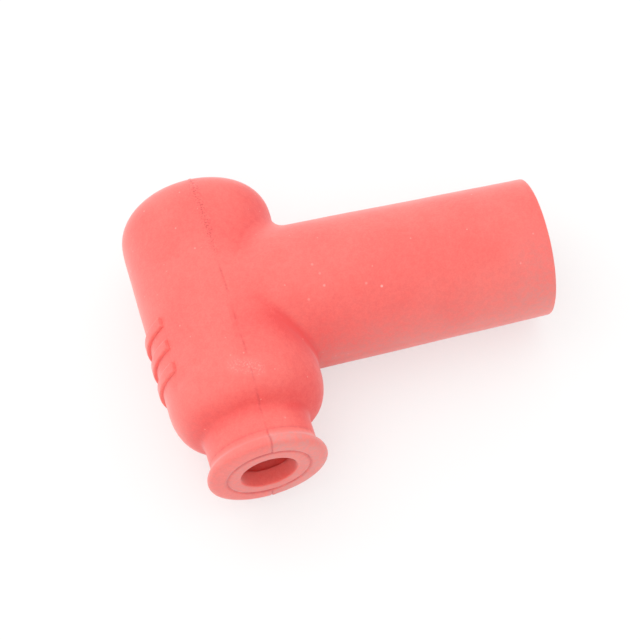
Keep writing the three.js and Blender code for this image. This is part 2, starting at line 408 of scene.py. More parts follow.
def add_node(tree, kind, inputs=(), **settings):
    """Adds a node and gives back its outputs.

    The inputs stand in the node's own order, or are keyed by name or number. Each is a value or
    another node's output.
    """
    node = tree.nodes.new(kind)
    for name, value in settings.items():
        setattr(node, name, value)
    keyed = inputs if isinstance(inputs, dict) else dict(enumerate(inputs))
    for name, value in keyed.items():
        if isinstance(value, bpy.types.NodeSocket):
            tree.links.new(value, node.inputs[name])
        else:
            node.inputs[name].default_value = value
    return node.outputs


def new_material(name):
    """A node material with nothing in it but its Principled shader and its output."""
    material = bpy.data.materials.new(name)
    material.use_nodes = True
    tree = material.node_tree
    tree.nodes.clear()
    shader = tree.nodes.new("ShaderNodeBsdfPrincipled")
    add_node(tree, "ShaderNodeOutputMaterial", {"Surface": shader.outputs["BSDF"]})
    return material, tree, shader


def rgba(values):
    return (*values, 1.0)


def dust_specks(tree, place, worn):
    """Round pale specks, thicker where the surface is worn, and a few larger ones by the tube's root."""
    cell, most_cells, small_strength = 0.8 * MM, 0.3, 0.3
    cells = add_node(tree, "ShaderNodeTexVoronoi", {"Vector": place, "Scale": 1 / cell})
    chance = add_node(tree, "ShaderNodeSeparateColor", {"Color": cells["Color"]})[0]
    share = add_node(tree, "ShaderNodeMath", [worn, most_cells], operation="MULTIPLY")[0]
    kept = add_node(tree, "ShaderNodeMath", [chance, share], operation="LESS_THAN")[0]
    spot = [cells["Distance"], 0.08, 0.2, small_strength, 0.0]
    small = add_node(tree, "ShaderNodeMapRange", spot, **SMOOTH)[0]
    specks = add_node(tree, "ShaderNodeMath", [small, kept], operation="MULTIPLY")[0]
    turned, crossing = lying_down()
    for speck, strength in LARGE_SPECKS.items():
        centre = crossing + turned @ (Vector(speck) * MM)
        off = add_node(tree, "ShaderNodeVectorMath", [place, centre], operation="DISTANCE")["Value"]
        spot = [off, SPECK_RADIUS * 0.4, SPECK_RADIUS, strength, 0.0]
        large = add_node(tree, "ShaderNodeMapRange", spot, **SMOOTH)[0]
        specks = add_node(tree, "ShaderNodeMath", [specks, large], operation="MAXIMUM")[0]
    return specks


def moulded_silicone():
    """Red silicone rubber, compression moulded and gone dry.

    It gives the eye a soft matte red, greyer where a film has bloomed out and with painted sheen on the
    sides, darker red painted as shade in the folds and on the sides turned from the light, with a faint
    mottle, a grain like fine paper, a ragged seam and a few pale specks.
    """
    colours = bpy.context.scene.cap_colours
    material, tree, shader = new_material("moulded_silicone_rubber")
    place = add_node(tree, "ShaderNodeTexCoord")["Object"]
    values = {}
    # Noises: name, size of a blotch, detail and roughness
    for name, size, detail, roughness in (
        ("broad", 7 * MM, 2, 0.5),
        ("fine", 0.7 * MM, 4, 0.65),
        ("grit", 0.22 * MM, 2, 0.6),
    ):
        inputs = {"Vector": place, "Scale": 1 / size, "Detail": detail, "Roughness": roughness}
        values[name] = add_node(tree, "ShaderNodeTexNoise", inputs)["Fac"]
    for mark in MARKS:
        values[mark] = add_node(tree, "ShaderNodeAttribute", attribute_name=mark)["Fac"]
    # Smooth ranges: name, what it reads, from, to, and what these two become
    for name, source, *limits in (
        ("clouds", "broad", 0.35, 0.65, 0.0, 0.18),
        ("veins", "fine", 0.35, 0.65, 0.0, 0.2),
        ("dots", "grit", 0.35, 0.65, -0.08, 0.1),
        ("patches", "fine", 0.35, 0.65, 0.6, 1.25),
        ("gaps", "fine", 0.3, 0.55, 0.45, 1.0),
        ("holes", "grit", 0.48, 0.66, 0.0, 1.0),
        ("blotches", "grit", 0.45, 0.68, 0.02, 0.24),
        ("rubbed", "worn", 0.4, 0.8, 0.0, 1.0),
        ("dullness", "fine", 0.3, 0.7, 0.68, 0.8),
    ):
        values[name] = add_node(tree, "ShaderNodeMapRange", [values[source], *limits], **SMOOTH)[0]
    values["specks"] = dust_specks(tree, place, values["worn"])
    values["coarseness"] = 1.5
    # Sums, products and maxima: name, operation and the two values
    for name, operation, first, second in (
        ("mottle", "ADD", "clouds", "veins"),
        ("mottle", "ADD", "mottle", "dots"),
        # The faint mottle joins the painted shade of the creases and of the sides turned from the light
        ("painted_shade", "ADD", "mottle", "painted_shade"),
        ("film_and_sheen", "MULTIPLY", "film_and_sheen", "patches"),
        ("pits", "MULTIPLY", "pits", "holes"),
        ("line", "MULTIPLY", "line", "gaps"),
        ("line", "MAXIMUM", "pits", "line"),
        ("scuff", "MULTIPLY", "rubbed", "blotches"),
        ("pale", "MAXIMUM", "scuff", "specks"),
        ("grain", "MULTIPLY", "fine", "coarseness"),
        ("grain", "ADD", "grit", "grain"),
    ):
        inputs = [values[first], values[second]]
        values[name] = add_node(tree, "ShaderNodeMath", inputs, operation=operation)[0]
    base = rgba(colours.rubber)
    # Mixed over the rubber in turn: painted shade with the mottle, film with painted sheen, the seam's
    # line with painted shade in folds and grooves, then pale scuffs and specks
    for name, tint in (
        ("painted_shade", colours.rubber_shade_and_mottle),
        ("film_and_sheen", colours.bloom_and_sheen),
        ("line", colours.line),
        ("pale", colours.speck),
    ):
        inputs = {"Factor": values[name], 6: base, 7: rgba(tint)}
        base = add_node(tree, "ShaderNodeMix", inputs, data_type="RGBA", clamp_factor=True)[2]
    tree.links.new(base, shader.inputs["Base Color"])
    tree.links.new(values["dullness"], shader.inputs["Roughness"])
    shader.inputs["IOR"].default_value = 1.41
    shader.inputs["Specular IOR Level"].default_value = 0.4
    shader.inputs["Sheen Weight"].default_value = 0.4
    shader.inputs["Sheen Roughness"].default_value = 0.4
    shader.inputs["Subsurface Weight"].default_value = 0.4
    shader.inputs["Subsurface Radius"].default_value = (1.0, 0.2, 0.16)
    shader.inputs["Subsurface Scale"].default_value = 1.6 * MM
    inputs = {"Strength": 0.5, "Distance": 0.035 * MM, "Height": values["grain"]}
    bump = add_node(tree, "ShaderNodeBump", inputs)
    tree.links.new(bump["Normal"], shader.inputs["Normal"])
    return material


def turned_brass(name, tool_marks):
    """Brass turned on a lathe: warm yellow metal, satin, with rings left by the tool.

    Real rings are too fine to show, so these are as coarse as they need to be.
    """
    colours = bpy.context.scene.cap_colours
    material, tree, shader = new_material(name)
    place = add_node(tree, "ShaderNodeTexCoord")["Object"]
    inputs = {"Vector": place, "Scale": 1 / (2.5 * MM), "Detail": 3, "Roughness": 0.5}
    stains = add_node(tree, "ShaderNodeTexNoise", inputs)["Fac"]
    tarnish = add_node(tree, "ShaderNodeMapRange", [stains, 0.4, 0.75, 1.0, 0.8], **SMOOTH)[0]
    inputs = {"Factor": 1.0, 6: rgba(colours.brass), 7: tarnish}
    tint = add_node(tree, "ShaderNodeMix", inputs, data_type="RGBA", blend_type="MULTIPLY")[2]
    tree.links.new(tint, shader.inputs["Base Color"])
    shader.inputs["Metallic"].default_value = 1.0
    # The wave node packs its bands this much closer than its scale says
    packing = 20
    inputs = {"Vector": place, "Scale": 1 / (packing * tool_marks), "Distortion": 0.4}
    rings = add_node(tree, "ShaderNodeTexWave", inputs, bands_direction="X")["Fac"]
    dullness = add_node(tree, "ShaderNodeMapRange", [rings, 0, 1, 0.26, 0.38], **SMOOTH)[0]
    tree.links.new(dullness, shader.inputs["Roughness"])
    bump = add_node(tree, "ShaderNodeBump", {"Strength": 0.3, "Distance": 0.01 * MM, "Height": rings})
    tree.links.new(bump["Normal"], shader.inputs["Normal"])
    return material


def drawn_wire():
    """Spring steel drawn through a die: smooth grey metal with faint streaks."""
    colours = bpy.context.scene.cap_colours
    material, tree, shader = new_material("drawn_spring_steel")
    place = add_node(tree, "ShaderNodeTexCoord")["Object"]
    inputs = {"Vector": place, "Scale": 1 / (0.5 * MM), "Detail": 2, "Roughness": 0.5}
    streaks = add_node(tree, "ShaderNodeTexNoise", inputs)["Fac"]
    dullness = add_node(tree, "ShaderNodeMapRange", [streaks, 0.3, 0.7, 0.22, 0.34], **SMOOTH)[0]
    shader.inputs["Base Color"].default_value = rgba(colours.steel)
    shader.inputs["Metallic"].default_value = 1.0
    tree.links.new(dullness, shader.inputs["Roughness"])
    return material


def dome_outline(head):
    steps = 48
    outline = []
    for step in range(steps + 1):
        angle = step / steps * math.pi / 2
        across = math.sin(angle) ** (2 / head.dome_fullness)
        drop = 1 - max(math.cos(angle), 0) ** (2 / head.dome_fullness)
        outline.append(Vector((head.radius * across, head.dome_top - head.dome_height * drop)))
    return outline


def shoulder_outline(head):
    steps = 20
    outline = []
    for step in range(steps + 1):
        angle = step / steps * math.pi / 2
        radius = head.neck_radius + (head.radius - head.neck_radius) * math.cos(angle)
        along = head.shoulder_start + head.shoulder_height * math.sin(angle)
        outline.append(Vector((radius, -along)))
    return outline


def flange_outline(head, inner_radius):
    """From the neck, out along a hollow flare to the collar's rim, and over its crown to the face."""
    rim_setback = 0.72 * MM
    neck_end = Vector((head.neck_radius, -head.collar_back, 0))
    rim = Vector((head.collar_radius, rim_setback - head.collar_face, 0))
    inner = Vector((inner_radius, -head.collar_face, 0))
    leaving_neck = neck_end + Vector((0.07, -1.15, 0)) * MM
    nearing_rim = rim + Vector((-0.08, 0.9, 0)) * MM
    leaving_rim = rim + Vector((0.02, -0.5, 0)) * MM
    nearing_face = inner + Vector((1.5, 0, 0)) * MM
    flare = interpolate_bezier(neck_end, leaving_neck, nearing_rim, rim, 18)
    crown = interpolate_bezier(rim, leaving_rim, nearing_face, inner, 16)
    return [point.to_2d() for point in flare + crown[1:]]


def head_outline(head):
    """Profile of the head: over the dome, down the side, round the collar and into the lead's bore."""
    side_step, bore_step = 0.3 * MM, 0.4 * MM
    ring_width, ring_depth, ring_edge = 0.28 * MM, 0.14 * MM, 0.08 * MM
    relief_slope = 0.5 * MM
    neck_middle = -(head.shoulder_start + head.shoulder_height + head.collar_back) / 2
    side = dome_outline(head) + shoulder_outline(head) + [Vector((head.neck_radius, neck_middle))]
    side = softened(spaced(side, side_step), 8)
    neck_end = Vector((head.neck_radius, 0.12 * MM - head.collar_back))
    side += spaced([side[-1], neck_end], side_step)[1:]
    face = -head.collar_face
    lip_back = face + head.lip
    relief_end = lip_back + head.relief_length
    bore_end = -(bpy.context.scene.cap_socket.radius - MM)
    corners = [
        (head.ring_radius + 2 * ring_width, face, 0),
        (head.ring_radius + ring_width, face, ring_edge),
        (head.ring_radius, face + ring_depth, 0.03 * MM),
        (head.ring_radius - ring_width, face, ring_edge),
        (head.hole_radius, face, 0.22 * MM),
        (head.hole_radius, lip_back, 0.15 * MM),
        (head.relief_radius, lip_back, 0.2 * MM),
        (head.relief_radius, relief_end, 0),
        (head.bore_radius, relief_end + relief_slope, 0),
        (head.bore_radius, bore_end, 0),
        (0, bore_end, 0),
    ]
    flange = flange_outline(head, head.ring_radius + 2 * ring_width)
    return side + flange + spaced(rounded(corners, 5), bore_step)[1:]


def seam_strip(head, seam):
    """Sectors for the head's spin, with narrow steps along the seam above and below."""
    middle = math.asin(seam.offset / head.radius)
    half = math.radians(4)
    narrow = (2 * half, 24)
    tube_side = (math.pi - 2 * (middle + half), 64)
    back_side = (math.pi + 2 * (middle - half), 72)
    return [narrow, tube_side, narrow, back_side], middle - half


def seam_strength(along, z):
    """How clearly the seam shows at a place along the head, from 0 to 1; above and below differ."""
    changes_per_mm = 0.45
    wander = noise.noise(Vector((3.1, along / MM * changes_per_mm, math.copysign(2, z))))
    return eased(wander, -0.35, 0.45)


def seam_wander(along, z):
    """How far the seam strays sideways at a place along the head; above and below differ."""
    slow_per_mm, quick_per_mm = 0.35, 1.3
    side = math.copysign(3, z)
    slow = noise.noise(Vector((side, along / MM * slow_per_mm, 0)))
    quick = noise.noise(Vector((side, along / MM * quick_per_mm, 5)))
    return (0.12 * slow + 0.07 * quick) * MM


def in_lead_bore(head, radius, along):
    """Whether a place is in the lead's bore, with its wider space and the hole."""
    return along < 0 and radius < 1.3 * head.bore_radius


def raise_seam(form, head, seam):
    """Draws the mould's seam on the head: ragged flash, pits near the dome and a notched collar."""
    reach = 6 * seam.half_width
    groove_off = 1.8 * seam.half_width
    pit_reach = 3.6 * seam.half_width
    pitted_from = head.dome_top - 2 * head.dome_height
    pits_grow_over = 5 * MM
    edge = 0.3 * MM
    for corner in form.verts:
        radius = math.hypot(corner.co.x, corner.co.z)
        along = corner.co.y
        behind_face = along > edge - head.collar_face
        off = corner.co.x - seam.offset
        if abs(off) > reach or (behind_face and in_lead_bore(head, radius, along)):
            continue
        off -= seam_wander(along, corner.co.z)
        if along < -head.collar_back - edge:
            if radius < head.ring_radius:
                continue
            push = seam.step * (1 - off / reach) if off > 0 else 0
            push -= seam.notch * falloff(off, seam.half_width)
        else:
            ridge = seam.height * falloff(off, seam.half_width)
            groove = seam.groove * falloff(off - groove_off, seam.half_width)
            push = seam_strength(along, corner.co.z) * (ridge - groove)
        if along > pitted_from:
            share = min((along - pitted_from) / pits_grow_over, 1)
            pits = noise.noise(corner.co / MM * 1.4) + 0.8 * noise.noise(corner.co / MM * 3.7)
            push += share * seam.pit_depth * pits * falloff(off, pit_reach)
        corner.co += corner.normal * push


def fill_dome(form, head):
    """Makes the dome a little fuller on the side of the tube."""
    start = head.dome_top - head.dome_height - MM
    for corner in form.verts:
        radius = math.hypot(corner.co.x, corner.co.z)
        share = (corner.co.y - start) / (head.dome_top - start)
        if corner.co.x > 0 and 0 < share < 1 and radius > MM:
            swell = head.fuller_side * math.sin(math.pi * share) * corner.co.x / radius
            corner.co.x *= 1 + swell / radius
            corner.co.z *= 1 + swell / radius


def distance_to_line(point, ends):
    """Distance from a point to the line between two places given in mm."""
    start, finish = (Vector(end) * MM for end in ends)
    reach = finish - start
    share = min(max((point - start).dot(reach) / reach.length_squared, 0), 1)
    return (point - start - reach * share).length


def head_form():
    scene = bpy.context.scene
    head, seam = scene.cap_head, scene.cap_seam
    sectors, start = seam_strip(head, seam)
    form = spin_profile(head_outline(head), sectors, start)
    fill_dome(form, head)
    form.normal_update()
    raise_seam(form, head, seam)
    return along_head(form)


def head_radius_at(head, along):
    """Radius of the head at a length along its axis, positive towards the dome."""
    dome_start = head.dome_top - head.dome_height
    if along > dome_start:
        height = max(1 - (along - dome_start) / head.dome_height, 0)
        flat = (1 - height) ** (head.dome_fullness / 2)
        return head.radius * math.sqrt(max(1 - flat * flat, 0)) ** (2 / head.dome_fullness)
    if along > -head.shoulder_start:
        return head.radius
    share = min((-head.shoulder_start - along) / head.shoulder_height, 1)
    return head.neck_radius + (head.radius - head.neck_radius) * math.sqrt(1 - share * share)


def on_head_axis(head, point):
    """How far a point lies along the head's axis, and how far across it towards the tube."""
    along = point.y * math.cos(head.lean) - point.x * math.sin(head.lean)
    across = point.y * math.sin(head.lean) + point.x * math.cos(head.lean)
    return along, across


def is_in_head(head, point, sink):
    along, across = on_head_axis(head, point)
    return math.hypot(across, point.z) < head_radius_at(head, along) - sink


def tube_radius_at(tube, x):
    """Outside radius of the tube at a length along it."""
    return tube.root_radius + (tube.end_radius - tube.root_radius) * x / tube.length


def last_inside(test, limit):
    """The largest length from 0 to the limit for which the test still holds."""
    inside, outside = 0.0, limit
    for _ in range(40):
        middle = (inside + outside) / 2
        if test(middle):
            inside = middle
        else:
            outside = middle
    return inside


def fillet_curve(head, tube, around):
    """Ends and corner of the fillet between tube and head at one direction round the tube."""
    sink = 0.02 * MM

    def cone(x):
        return tube_radius_at(tube, x)

    def at(x, radius):
        return Vector((x, around.y * radius, around.z * radius))

    dome_side = max(around.y, 0) ** 0.8
    size = tube.collar_side_fillet + (tube.dome_side_fillet - tube.collar_side_fillet) * dome_side
    limit = 2 * head.radius
    corner_x = last_inside(lambda x: is_in_head(head, at(x, cone(x)), 0), limit)
    corner = Vector((corner_x, cone(corner_x)))
    reach = last_inside(lambda radius: is_in_head(head, at(0, radius), sink), limit)
    side = max(min(corner.y + size, reach), corner.y)
    on_head = Vector((last_inside(lambda x: is_in_head(head, at(x, side), sink), limit), side))
    on_tube_x = corner.x + (on_head - corner).length
    return on_head, corner, Vector((on_tube_x, cone(on_tube_x)))


def tube_outline(tube, socket, fillet_rows):
    """Profile of the tube: its first rows are the root, drawn onto the head later."""
    cone_start = tube.length * 0.35
    root_core = Vector((0, 5.5 * MM))
    root = [Vector((tube.root_radius, (6 + 0.5 * row) * MM)) for row in range(fillet_rows)]
    ring_half = 0.75 * MM
    lip_start = socket.front + socket.gap
    lip_end = lip_start + tube.lip_length
    corners = [
        (tube_radius_at(tube, cone_start), cone_start, 0),
        (tube.end_radius, tube.length, tube.edge),
        (tube.bore_radius, tube.length, tube.mouth_rounding),
    ]
    for number in (1, 2):
        crest = tube.length - number * tube.seal_setback
        corners += [
            (tube.bore_radius, crest + ring_half, 0.2 * MM),
            (tube.seal_radius, crest, 0.3 * MM),
            (tube.bore_radius, crest - ring_half, 0.2 * MM),
        ]
    corners += [
        (tube.bore_radius, lip_end, 0.3 * MM),
        (tube.lip_radius, lip_end, 0.2 * MM),
        (tube.lip_radius, lip_start - MM, 0),
        (0, lip_start - MM, 0),
    ]
    return [root_core, *root, *spaced(rounded(corners, 4), 0.45 * MM)]


def tube_form():
    """The tube, spun about +X, with its root drawn out to meet the head."""
    scene = bpy.context.scene
    head, tube = scene.cap_head, scene.cap_tube
    fillet_rows = 16
    outline = tube_outline(tube, scene.cap_socket, fillet_rows)
    form = along_x(spin_whole(outline, 136))
    share = form.verts.layers.float["share"]
    for corner in form.verts:
        row = corner[share]
        if not 0.5 < row < fillet_rows + 0.5:
            continue
        around = Vector((0, corner.co.y, corner.co.z)).normalized()
        on_head, bend, on_tube = fillet_curve(head, tube, around)
        step = (row - 1) / (fillet_rows - 1)
        point = on_head.lerp(bend, step).lerp(bend.lerp(on_tube, step), step)
        corner.co = Vector((point.x, around.y * point.y, around.z * point.y))
    return form


def bar_form(number):
    """One plain raised bar, spun part of the way round the head."""
    scene = bpy.context.scene
    head, bars = scene.cap_head, scene.cap_bars
    along = bars.middle + (number - (bars.number - 1) / 2) * bars.pitch
    low, high = along - bars.width / 2, along + bars.width / 2
    sunk = 0.6 * MM
    inner, outer = head.radius - sunk, head.radius + bars.height
    form = bmesh.new()
    start = Matrix.Rotation(math.pi - bars.half_angle, 3, "Y")
    corners = [
        form.verts.new(start @ Vector((radius, y, 0)))
        for radius, y in ((inner, low), (outer, low), (outer, high), (inner, high))
    ]
    section = form.faces.new(corners)
    bmesh.ops.spin(
        form, geom=[section], cent=(0, 0, 0), axis=(0, 1, 0), angle=2 * bars.half_angle, steps=28,
    )
    bmesh.ops.recalc_face_normals(form, faces=form.faces)
    outer_edges = [
        edge for edge in form.edges
        if all(math.hypot(end.co.x, end.co.z) > head.radius for end in edge.verts)
        and edge.calc_face_angle(0) > math.radians(40)
    ]
    bmesh.ops.bevel(
        form, geom=outer_edges, offset=bars.rounding, offset_type="OFFSET", segments=4,
        profile=0.5, affect="EDGES", material=-1,
    )
    return along_head(form)


def cavity_form():
    """The room for the brass socket, between the back of the head and the holding lip."""
    socket = bpy.context.scene.cap_socket
    radius = socket.radius + socket.gap
    corners = [
        (0, socket.back - socket.gap, 0),
        (radius, socket.back - socket.gap, 0),
        (radius, socket.front + socket.gap, 0),
        (0, socket.front + socket.gap, 0),
    ]
    return along_x(spin_whole(spaced(rounded(corners), MM), 72))


def make_uneven(item):
    """Lets the surface wander a little, as moulded rubber does, and presses one shallow fold into it."""
    depth, broad_size, local_size = 0.035 * MM, 9 * MM, 2.4 * MM
    fold_depth, fold_reach = 0.12 * MM, 0.7 * MM
    normals = [corner.normal.copy() for corner in item.data.vertices]
    for corner, normal in zip(item.data.vertices, normals):
        broad = noise.noise(corner.co / broad_size)
        local = noise.noise(corner.co / local_size + Vector((7, 1, 3)))
        fold = falloff(distance_to_line(corner.co, SHALLOW_FOLD), fold_reach)
        corner.co += normal * (depth * (broad + 0.35 * local) - fold_depth * fold)


def off_surfaces(head, tube, point):
    """How far a point stands off the head and off the tube, and the angle between the two there."""
    along, across = on_head_axis(head, point)
    head_direction = Vector((across, 0, point.z)).normalized()
    tube_direction = Vector((0, point.y, point.z)).normalized()
    off_head = math.hypot(across, point.z) - head_radius_at(head, along)
    off_tube = math.hypot(point.y, point.z) - tube_radius_at(tube, point.x)
    return off_head, off_tube, head_direction.angle(tube_direction, 0)


def painted_shade_at(head, tube, point, normal):
    """Painted shade: the head's flank turned from the light beside the tube, the crease at the tube's
    root with the tube's lower side, and the neck's corner.
    """
    along, _ = on_head_axis(head, point)
    off_head, off_tube, angle = off_surfaces(head, tube, point)
    neck_corner = -head.shoulder_start - head.shoulder_height
    touching, near_head, near_tube = 0.5 * MM, 2 * MM, 6 * MM
    painted_shade = 0
    if abs(off_head) < near_head:
        painted_shade = 0.5 * falloff(along - neck_corner, 1.4 * MM)
    if abs(off_head) < touching and along > -head.collar_back:
        painted_shade += 0.5 * eased(normal.x, 0.35, 0.95)
    lower_side = eased(-point.y, 3 * MM, 9 * MM)
    if point.x > 0 and off_head < near_head and off_tube < near_tube:
        near = falloff(off_tube, 2.4 * MM) * falloff(max(off_head, 0), touching)
        painted_shade += (0.45 + 0.45 * lower_side) * eased(angle, 0.25, 0.9) * near
    if point.x > 0 and abs(off_tube) < touching and off_head > 0:
        painted_shade += 0.4 * lower_side * falloff(off_head, 14 * MM)
    return painted_shade


def marks_at(scene, point, normal):
    """Strength of each mark on the rubber at a point, from 0 to 1."""
    head, tube, seam = scene.cap_head, scene.cap_tube, scene.cap_seam
    along, across = on_head_axis(head, point)
    radius = math.hypot(across, point.z)
    off_head, off_tube, _ = off_surfaces(head, tube, point)
    on_tube = point.x > 0 and abs(off_tube) < abs(off_head)
    on_collar = along < -head.collar_back and radius > head.hole_radius + 0.1 * MM
    in_ring = on_collar and radius < head.ring_radius
    near_dome = eased(along, 1 * MM, 7 * MM)
    line = pits = 0
    if not (on_tube or in_ring or in_lead_bore(head, radius, along)):
        off = across - seam.offset - seam_wander(along, point.z)
        shown = 0.4 if on_collar else 0.45 * seam_strength(along, point.z)
        line = shown * (1 - near_dome) * falloff(off, 1.3 * seam.half_width)
        # Darker dots in the pits along the seam near the dome: painted shade
        pits = 0.6 * near_dome * falloff(off, 0.5 * MM)
    if on_collar:
        # A darker line in the ring's groove: painted shade
        patchy = 0.8 + 0.7 * noise.noise(point / (1.7 * MM))
        line = max(line, 0.55 * patchy * falloff(radius - head.ring_radius, 0.22 * MM))
    if radius > head.ring_radius:
        # A darker line in the crease where the neck meets the collar's flare: painted shade
        line = max(line, 0.35 * falloff(along + head.collar_back, 0.12 * MM))
    # Greyer where the surface turns from up, on the tube's sides by normal.y and on the head's side by
    # normal.x: painted sheen. The even share, the dome's end, the collar and the handled end are dusty
    # bloom
    film_and_sheen = 0.26 * (1 - abs(normal.z)) ** 1.5
    if on_tube:
        film_and_sheen += 0.05 + 0.22 * eased(normal.y, 0.55, 0.95) + 0.05 * eased(-normal.y, 0.75, 1)
    else:
        film_and_sheen *= 0.6 * eased(-normal.x, -0.1, 0.6)
        film_and_sheen += 0.05 + 0.2 * eased(along, 11 * MM, 17 * MM)
    if on_collar:
        tube_side = eased(across, -0.4 * MM, 0.8 * MM)
        beyond_ring = eased(radius, head.ring_radius, head.ring_radius + 0.5 * MM)
        dusty = 0.28 + beyond_ring * (0.25 * tube_side - 0.14)
        film_and_sheen += dusty * eased(-along, head.collar_back, head.collar_back + 1.2 * MM)
    for place in HANDLED_END:
        film_and_sheen += 0.16 * falloff((point - Vector(place) * MM).length, 3.5 * MM)
    worn = 0.1 + 0.3 * near_dome
    worn += 0.7 * falloff(distance_to_line(point, SCUFF), 1.7 * MM)
    worn += 0.25 * falloff((point - Vector(SPECKLED_ROOT) * MM).length, 5 * MM)
    # Painted shade in the creases and on the sides turned from the light
    painted_shade = painted_shade_at(head, tube, point, normal)
    return {"painted_shade": painted_shade, "film_and_sheen": film_and_sheen, "line": line, "pits": pits, "worn": worn}


def mark_surface(item):
    """Writes the boot's marks into its mesh, as one number a vertex for each mark."""
    scene = bpy.context.scene
    rows = [marks_at(scene, corner.co, corner.normal) for corner in item.data.vertices]
    for name in MARKS:
        mark = item.data.attributes.new(name, "FLOAT", "POINT")
        mark.data.foreach_set("value", [min(row[name], 1) for row in rows])


def rest_flat(item):
    """Presses what would reach below the ground flat against it."""
    for corner in item.data.vertices:
        corner.co.z = max(corner.co.z, 0)


class CAP_OT_rubber_boot(bpy.types.Operator):
    """Moulds the rubber boot: head, tube, raised bars and bores"""

    bl_idname = "plug_cap.rubber_boot"
    bl_label = "Rubber boot"

    def execute(self, context):
        boot = as_object(head_form(), "rubber_boot_moulded")
        combine(boot, tube_form(), "UNION")
        for number in range(context.scene.cap_bars.number):
            combine(boot, bar_form(number), "UNION")
        combine(boot, cavity_form(), "DIFFERENCE")
        make_uneven(boot)
        mark_surface(boot)
        finish_piece(boot, "rubber_boot", moulded_silicone(), crease_angle=38)
        rest_flat(boot)
        return {"FINISHED"}


class CAP_OT_plug_socket(bpy.types.Operator):
    """Turns the brass socket, with its groove, slots and cross hole"""

    bl_idname = "plug_cap.plug_socket"
    bl_label = "Plug socket"

    def execute(self, context):
        socket = context.scene.cap_socket
        groove_half = socket.wire_radius + socket.gap
        groove_floor = socket.radius - 2 * socket.wire_radius - socket.gap
        clip_x = socket.front - socket.clip_setback
        bore_end = socket.front - socket.bore_depth
        edge = 0.08 * MM
        corners = [
            (0, socket.back, 0),
            (socket.radius, socket.back, socket.chamfer),
            (socket.radius, clip_x - groove_half, edge),
            (groove_floor, clip_x - groove_half, edge),
            (groove_floor, clip_x + groove_half, edge),
            (socket.radius, clip_x + groove_half, edge),
            (socket.radius, socket.front, socket.chamfer),
            (socket.bore_radius, socket.front, 0.4 * MM),
            (socket.bore_radius, bore_end, 0),
            (0, bore_end - socket.drill_point, 0),
        ]
        turned = spin_whole(spaced(rounded(corners, 4), 0.8 * MM), 96)
        brass = as_object(along_x(turned), "plug_socket_turned")
        leg = socket.bore_radius + socket.wire_radius - socket.clip_reach
        slot_inner = leg - socket.wire_radius - socket.gap
        slot_outer = socket.radius + MM
        slot_half = math.sqrt(groove_floor ** 2 - slot_inner ** 2) + socket.gap
        for side in (-1, 1):
            slot = bmesh.new()
            bmesh.ops.create_cube(slot, size=1)
            bmesh.ops.scale(
                slot, verts=slot.verts,
                vec=(2 * groove_half, slot_outer - slot_inner, 2 * slot_half),
            )
            middle = side * (slot_inner + slot_outer) / 2
            bmesh.ops.translate(slot, verts=slot.verts, vec=(clip_x, middle, 0))
            combine(brass, slot, "DIFFERENCE")
        hole = socket.screw_radius + socket.gap
        hole_end = socket.screw_inset + socket.gap
        outside = -socket.radius - MM
        hole_corners = [(0, outside, 0), (hole, outside, 0), (hole, hole_end, 0), (0, hole_end, 0)]
        drilled = spin_whole(spaced(rounded(hole_corners), MM), 48)
        combine(brass, along_head(drilled), "DIFFERENCE")
        material = turned_brass("turned_brass", tool_marks=0.35 * MM)
        finish_piece(brass, "plug_socket", material, crease_angle=30)
        return {"FINISHED"}


class CAP_OT_retaining_clip(bpy.types.Operator):
    """Bends the hairpin clip of spring wire"""

    bl_idname = "plug_cap.retaining_clip"
    bl_label = "Retaining clip"

    def execute(self, context):
        socket = context.scene.cap_socket
        leg = socket.bore_radius + socket.wire_radius - socket.clip_reach
        crown = socket.radius - socket.wire_radius
        rise = math.sqrt(crown ** 2 - leg ** 2)
        first = math.atan2(rise, leg)
        crown_steps, longest, softening = 24, 0.25 * MM, 6
        route = [Vector((leg, -socket.clip_tail)), Vector((leg, rise))]
        for step in range(1, crown_steps):
            angle = first + (math.pi - 2 * first) * step / crown_steps
            route.append(Vector((crown * math.cos(angle), crown * math.sin(angle))))
        route += [Vector((-leg, rise)), Vector((-leg, -socket.clip_tail))]
        route = softened(spaced(route, longest), softening)
        wire = bpy.data.curves.new("wire", "CURVE")
        wire.dimensions = "3D"
        wire.bevel_depth = socket.wire_radius
        wire.bevel_resolution = 6
        wire.use_fill_caps = True
        line = wire.splines.new("POLY")
        line.points.add(len(route) - 1)
        clip_x = socket.front - socket.clip_setback
        for point, place in zip(line.points, route):
            point.co = (clip_x, place.x, place.y, 1)
        bent = bpy.data.objects.new("wire", wire)
        context.scene.collection.objects.link(bent)
        form = bmesh.new()
        form.from_mesh(evaluated_mesh(bent))
        bpy.data.objects.remove(bent)
        bmesh.ops.remove_doubles(form, verts=form.verts, dist=1e-3 * MM)
        bmesh.ops.recalc_face_normals(form, faces=form.faces)
        clip = as_object(form, "retaining_clip_wire")
        finish_piece(clip, "retaining_clip", drawn_wire(), crease_angle=40)
        return {"FINISHED"}


